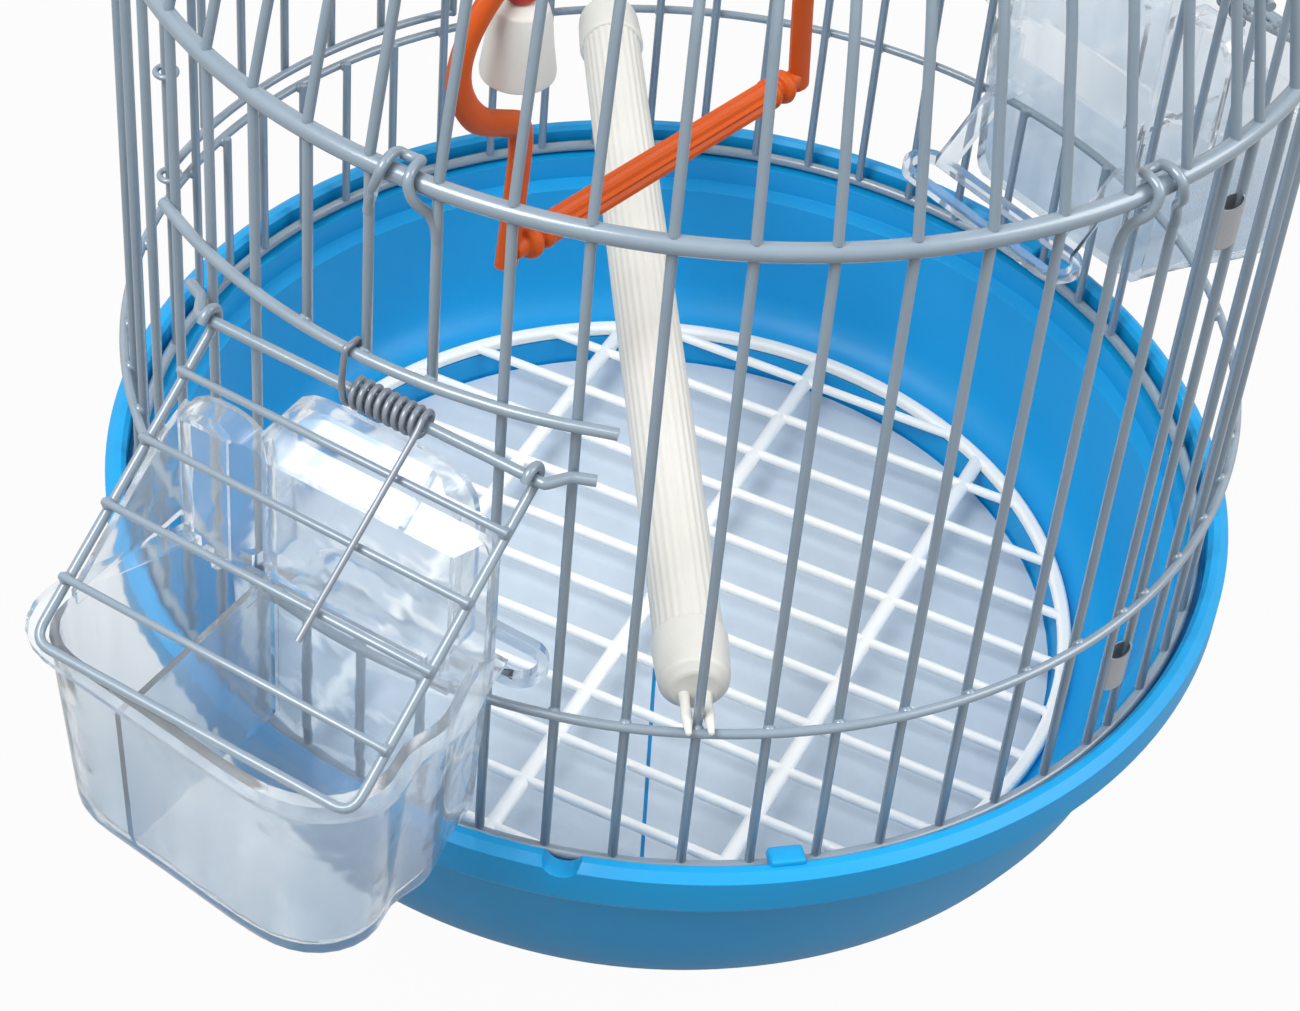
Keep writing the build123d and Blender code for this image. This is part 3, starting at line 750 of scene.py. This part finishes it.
# %% [markdown]
# ## Feeder guards
# Each guard is one bent wire, hooked round the hinge wire at both ends, with four bars welded
# across it. A torsion spring on the hinge wire holds it down: its short leg hooks over the header
# and its long leg lies on the bars. The feeder is drawn about azimuth 0, with X outwards and Y along
# the wall, and copied to its two places.

# %% Guard frame and bars
FEEDER_AZ = {"left": 240.56, "right": 42.56}
HINGE_X, HINGE_Z, HOOK_R = 118.9, 157.0, 2.3
HINGE_D, RAIL_D, RAIL_HALF = 2.3, 1.6, 37.0
RAILS_AT, RAIL_ABOVE, BEAD_ABOVE, BEAD_R = (10.8, 25.0, 38.8, 54.5), -0.6, -1.3, 1.3
GUARD_HALF, GUARD_LENGTH, GUARD_DROP, GUARD_CORNER = 36.0, 67.3, 35.5, 8
EYE_R, EYE_STEPS, EYE_FROM, EYE_SWEEP = 2.4, 9, 15, 255
drop = math.radians(GUARD_DROP)


def across(y, along, above):
    """Point of the guard from its distance down the slope and above its plane."""
    x = HINGE_X + along * math.cos(drop) + above * math.sin(drop)
    return Vector((x, y, HINGE_Z - along * math.sin(drop) + above * math.cos(drop)))


hinge_half = [(112.6, 45.6, HINGE_Z), (114.5, 41.4, HINGE_Z), (HINGE_X, 38.6, HINGE_Z)]
hinge_points = [(x, -y, z) for x, y, z in hinge_half] + hinge_half[::-1]
hinge_wire = wire(eased(hinge_points, 1.2), HINGE_D)

eye = []
for k in range(EYE_STEPS):
    a = math.radians(EYE_FROM + k * (EYE_SWEEP - GUARD_DROP) / EYE_STEPS)
    eye.append(Vector((HINGE_X + EYE_R * math.cos(a), GUARD_HALF, HINGE_Z + EYE_R * math.sin(a))))
side_reaches = (0, 3, GUARD_LENGTH - GUARD_CORNER, GUARD_LENGTH)
side_run = eye + [across(GUARD_HALF, reach, -HOOK_R) for reach in side_reaches]
side_run.append(across(GUARD_HALF - GUARD_CORNER, GUARD_LENGTH, -HOOK_R))
other_run = [Vector((p.x, -p.y, p.z)) for p in reversed(side_run)]
guard_frame = wire(side_run + other_run, WIRE_D, steps=5)
rails = []
for reach in RAILS_AT:
    rails.append(rod(across(-RAIL_HALF, reach, RAIL_ABOVE), across(RAIL_HALF, reach, RAIL_ABOVE), RAIL_D))
    rails += [weld(across(side, reach, BEAD_ABOVE), BEAD_R) for side in (-GUARD_HALF, GUARD_HALF)]
guard_bars = joined("bars", rails)

# %% Torsion spring
SPRING_WIRE, SPRING_R, SPRING_FROM, SPRING_TO = 1.3, 2.65, -3.6, 13.0
TURNS = 9 - (90 - GUARD_DROP - 1.1) / 360
PER_TURN = 16
LEG_TILT, LEG_REACHES = -0.13, (2, 22, 43.0)


def coil_point(turns):
    """Point of the coil after some turns, and its direction there."""
    a = -2 * math.pi * turns
    rise = (SPRING_TO - SPRING_FROM) / TURNS
    out, up = SPRING_R * math.cos(a), SPRING_R * math.sin(a)
    place = Vector((HINGE_X + out, SPRING_FROM + rise * turns, HINGE_Z + up))
    going = Vector((up * 2 * math.pi, rise, -out * 2 * math.pi))
    return place, going.normalized()


first, last = coil_point(0), coil_point(TURNS)
leg = [
    (119.5, -1.6, 167.2), (119.5, -1.7, 170.5), (123.2, -2.0, 170.5), (123.2, -2.4, 166.0),
    first[0] - first[1] * 3,
]
route = eased(leg, 1.3)
coil_steps = round(TURNS * PER_TURN)
route += [coil_point(TURNS * k / coil_steps)[0] for k in range(coil_steps + 1)]
leg_start = last[0] + last[1] * 2
leg_way = (last[1] + Vector((0, LEG_TILT, 0))).normalized()
route += [leg_start] + [leg_start + leg_way * reach for reach in LEG_REACHES]
spring = wire(route, SPRING_WIRE, steps=3)

# %% Both feeders' wires
for side, azimuth in FEEDER_AZ.items():
    place = about_axis(azimuth)
    for pattern, label, node in (
        (hinge_wire, "hinge", "hinge_wire_"), (guard_frame, "guard_edge", "guard_frame_"),
        (guard_bars, "guard_rails", "guard_bars_"),
    ):
        twin = copy_to(pattern, place)
        twin.name = side + "_" + label
        seat(twin, node + side)
    twin = copy_to(spring, place)
    twin.name = side + "_spring"
    node = "torsion_spring_" + side
    twin.data.materials.clear()
    twin.data.materials.append(finish_of[slot_of[node]])
    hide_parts(node)
    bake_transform(twin)
for pattern in (hinge_wire, guard_frame, guard_bars, spring):
    bpy.data.objects.remove(pattern)

# %% [markdown]
# ## Clear cups
# The cups are the hardest moulding of the cage: a wavy bin with a flange, two hoods over its back and
# a perch loop on two arms. The CAD solid has all of these forms in small flats, so a copy of it is
# merged, its flats are dissolved into whole faces, and its edges are rounded, as a mould's are. The
# rounding is what makes clear plastic read: it catches the light along every edge.

# %% Cups
MERGE_WITHIN = 2e-5
FLAT_WITHIN = math.radians(0.5)

for side in FEEDER_AZ:
    cup = copy_to(nodes["feeder_cup_" + side], Matrix.Identity(4))
    cup.name = side + "_cup"
    for key in list(cup.keys()):
        del cup[key]
    only(cup)
    bpy.ops.object.mode_set(mode="EDIT")
    bpy.ops.mesh.select_all(action="SELECT")
    bpy.ops.mesh.remove_doubles(threshold=MERGE_WITHIN)
    bpy.ops.mesh.dissolve_limited(angle_limit=FLAT_WITHIN)
    bpy.ops.object.mode_set(mode="OBJECT")
    soften(cup, 0.35)
    evened = cup.modifiers.new("evened", "WEIGHTED_NORMAL")
    evened.keep_sharp = True
    bpy.ops.object.modifier_apply(modifier=evened.name)
    seat(cup, "feeder_cup_" + side)

# %% [markdown]
# ## Door
# The door at the back is a wire frame with five bars, and it lifts: four small eyes run on two of
# the uprights.

# %% Door frame and bars
DOOR_R, DOOR_LOW, DOOR_HIGH = 123.7, 97.6, 173.0
LEFT_AZ, RIGHT_AZ = upright_az(-23.3), upright_az(-16.65)
frame_wires = [
    rod(spot(DOOR_R, az, DOOR_LOW - 1), spot(DOOR_R, az, DOOR_HIGH + 1), WIRE_D)
    for az in (LEFT_AZ, RIGHT_AZ)
]
frame_wires += [part_hoop(DOOR_R, z, LEFT_AZ, RIGHT_AZ, WIRE_D) for z in (DOOR_LOW, DOOR_HIGH)]
seat(joined("door_edge", frame_wires), "door_frame")
DOOR_BARS_AT = (-22, -21, -20, -19, -18)
door_bar = rod((DOOR_R + 1.9, 0, DOOR_LOW - 1.5), (DOOR_R + 1.9, 0, DOOR_HIGH + 1.5), WIRE_D)
seat(repeated("door_rails", door_bar, [about_axis(upright_az(i)) for i in DOOR_BARS_AT]), "door_bars")

# %% Door eyes
LOOP_R, LOOP_D, LOOPS_AT = 2.45, 1.4, (103.8, 131.8)
eighths = [k * math.pi / 4 for k in range(8)]
eyes = []
for i, azimuth in ((-24, LEFT_AZ), (-16, RIGHT_AZ)):
    centre, reach = spot(WALL_R, upright_az(i)), spot(DOOR_R, azimuth)
    toward = (reach - centre).normalized()
    for z in LOOPS_AT:
        up = Vector((0, 0, z))
        ring_points = [centre + up + LOOP_R * Vector((math.cos(a), math.sin(a), 0)) for a in eighths]
        eyes.append(wire(ring_points, LOOP_D, closed=True))
        eyes.append(rod(centre + toward * 2.4 + up, reach - toward * 0.6 + up, LOOP_D, sides=10))
seat(joined("door_loops", eyes), "door_eyes")

# %% [markdown]
# ## Perch
# The perch is a fluted white rod between two plugs. Each plug has two prongs that straddle an
# upright and rest on the hoop. The flutes are a wave round a cylinder, drawn in towards its axis.

# %% Fluted bar
def fluted(radius, low, high, flutes, depth):
    """Round bar with grooves along it, upright about the axis."""
    deselect()
    bpy.ops.mesh.primitive_cylinder_add(
        vertices=flutes * 4, radius=radius * MM, depth=(high - low) * MM,
        location=(0, 0, (low + high) / 2 * MM),
    )
    piece = settle()
    for vertex in piece.data.vertices:
        turn = math.atan2(vertex.co.y, vertex.co.x) / (2 * math.pi) * flutes
        share = 1 - depth / radius * (0.5 - 0.5 * math.cos(2 * math.pi * turn))
        vertex.co.x *= share
        vertex.co.y *= share
    bpy.ops.object.shade_smooth_by_angle(angle=math.radians(50))
    return piece


def frame_of(origin, direction, upward):
    """Matrix that stands a piece drawn about the vertical axis on a point, along a direction."""
    z = direction.normalized()
    y = z.cross(upward).normalized()
    x = y.cross(z)
    return Matrix.Translation(origin * MM) @ Matrix((x, y, z)).transposed().to_4x4()


# %% Perch rod and plugs
PERCH_Z, PERCH_R, PERCH_GAP, PLUG_LENGTH = 98.0, 6.95, 6.2, 13.4
PRONG_X, PRONG_Y = -1.3, 2.2
front_end, back_end = spot(WALL_R, upright_az(0), PERCH_Z), spot(WALL_R, upright_az(-26), PERCH_Z)
along = (back_end - front_end).normalized()
length = (back_end - front_end).length - 2 * PERCH_GAP
up = Vector((0, 0, 1))
ends = [
    frame_of(front_end + along * PERCH_GAP, along, up), frame_of(back_end - along * PERCH_GAP, -along, up),
]
rod_piece = fluted(PERCH_R, PLUG_LENGTH, length - PLUG_LENGTH, flutes=26, depth=0.32)
rod_piece.data.transform(ends[0])
rod_piece.name = "perch"
seat(rod_piece, "perch_rod")
plug = lathe([(0, 0), (4.8, 0), (7.0, 1.8), (7.3, 4), (7.7, PLUG_LENGTH), (0, PLUG_LENGTH)], steps=64)
soften(plug, 0.5, segments=3, angle=20)
prong = lathe([(0, 0.6), (1.2, 0.6), (1.0, -2.5), (1.15, -6), (0.6, -10.2), (0, -10.6)], steps=16)
soften(prong, 0.3, angle=20)
prongs = [copy_to(prong, Matrix.Translation((PRONG_X * MM, y * MM, 0))) for y in (-PRONG_Y, PRONG_Y)]
bpy.data.objects.remove(prong)
plug = joined("plug", [plug] + prongs)
seat(repeated("perch_plugs", plug, ends), "perch_caps")

# %% [markdown]
# ## Swing
# The swing is one orange moulding. Each arm rises from the bar, loops out at the shoulder and comes
# back to a flat stem, which hangs from the staple by an eye. The arm is a path with a round section
# that is pressed flatter across the swing.

# %% Swing arms and stem
BAR_Z, ARM_D, STEM_D, FLATTER = 138.0, 5.8, 6.0, 0.68
SIDE_LINE = [
    (-45.8, -2.6), (-44.6, 10), (-43.2, 25), (-44, 31.5), (-49, 34), (-57.5, 38.5),
    (-63.5, 51.5), (-56, 65), (-36, 76), (-12, 92), (0, 104),
]
left_arm = [(0, y, BAR_Z + z) for y, z in SIDE_LINE]
right_arm = [(0, -y, BAR_Z + z) for y, z in reversed(SIDE_LINE[:-1])]
arms = wire(left_arm + right_arm, ARM_D, steps=8)
stem = rod((0, 0, BAR_Z + 99), (0, 0, PIVOT_Z - 4.5), STEM_D, sides=20)
for piece in (arms, stem):
    press(piece, (FLATTER, 1, 1))

# %% Swing ring and bell pin
RING_R, RING_THICK = 4.2, 4.0
BELL_S, BELL_Z, PIN_D = -45.5, 204.0, 1.8
deselect()
bpy.ops.mesh.primitive_torus_add(
    major_segments=40, minor_segments=14, major_radius=RING_R * MM, minor_radius=RING_THICK / 2 * MM,
    location=(0, 0, PIVOT_Z * MM), rotation=(0, math.pi / 2, 0),
)
ring = settle()
pin = rod((0, BELL_S, BELL_Z - 1.0), (0, BELL_S, BELL_Z + 3.5), PIN_D)
swing = joined("swing_arms", [arms, stem, ring, pin])
bpy.ops.object.shade_smooth_by_angle(angle=SMOOTH)
swing.data.transform(swing_place)
seat(swing, "swing_frame")

# %% Swing bar
BAR_R, BAR_HALF, BAR_FLUTES, BAR_FLUTE_DEPTH = 3.3, 35, 12, 0.5
bar = fluted(BAR_R, -BAR_HALF, BAR_HALF, BAR_FLUTES, BAR_FLUTE_DEPTH)
collar = lathe([
    (0, 34.4), (3.2, 34.4), (3.6, 35.4), (3.2, 36.6), (2.3, 37.2), (2.3, 37.8),
    (3.5, 38.3), (4.0, 39.6), (3.5, 40.8), (2.3, 41.4), (2.2, 44.2), (0, 44.2),
], steps=40)
soften(collar, 0.4, segments=3, angle=15)
other = copy_to(collar, Matrix.Rotation(math.pi, 4, "X"))
bar = joined("swing_perch", [bar, collar, other])
lying = Matrix.Translation((0, 0, BAR_Z * MM)) @ Matrix.Rotation(math.pi / 2, 4, "X")
bar.data.transform(swing_place @ lying)
seat(bar, "swing_bar")

# %% [markdown]
# ## Bell
# A small bell of white plastic hangs in the left loop, under a red bead, with its clapper inside.

# %% Bell
bell_place = swing_place @ Matrix.Translation((0, BELL_S * MM, BELL_Z * MM))
bell = lathe([
    (0, -4.8), (3.2, -4.8), (5.4, -6.2), (6.2, -9), (6.7, -14.6), (7.5, -20.4), (7.4, -21.8),
    (6.7, -21.8), (5.7, -14.5), (4.9, -8), (2.6, -6), (0, -6),
], steps=56)
clapper = lathe([
    (0, -6.4), (0.6, -6.4), (0.6, -15), (1.9, -16.5), (1.9, -19), (0.8, -20.5), (0, -20.5),
], steps=24)
top_bead = lathe([(0, -4.8), (2.6, -4.8), (3.4, -3.4), (2.6, -1.8), (0, -1.8)], steps=32)
for piece, label, node, edge in (
    (bell, "bell_cup", "bell", 0.35), (clapper, "bell_tongue", "bell_clapper", 0.3),
    (top_bead, "bell_top", "bell_bead", 0.7),
):
    soften(piece, edge, segments=3, angle=15)
    piece.data.transform(bell_place)
    piece.name = label
    seat(piece, node)
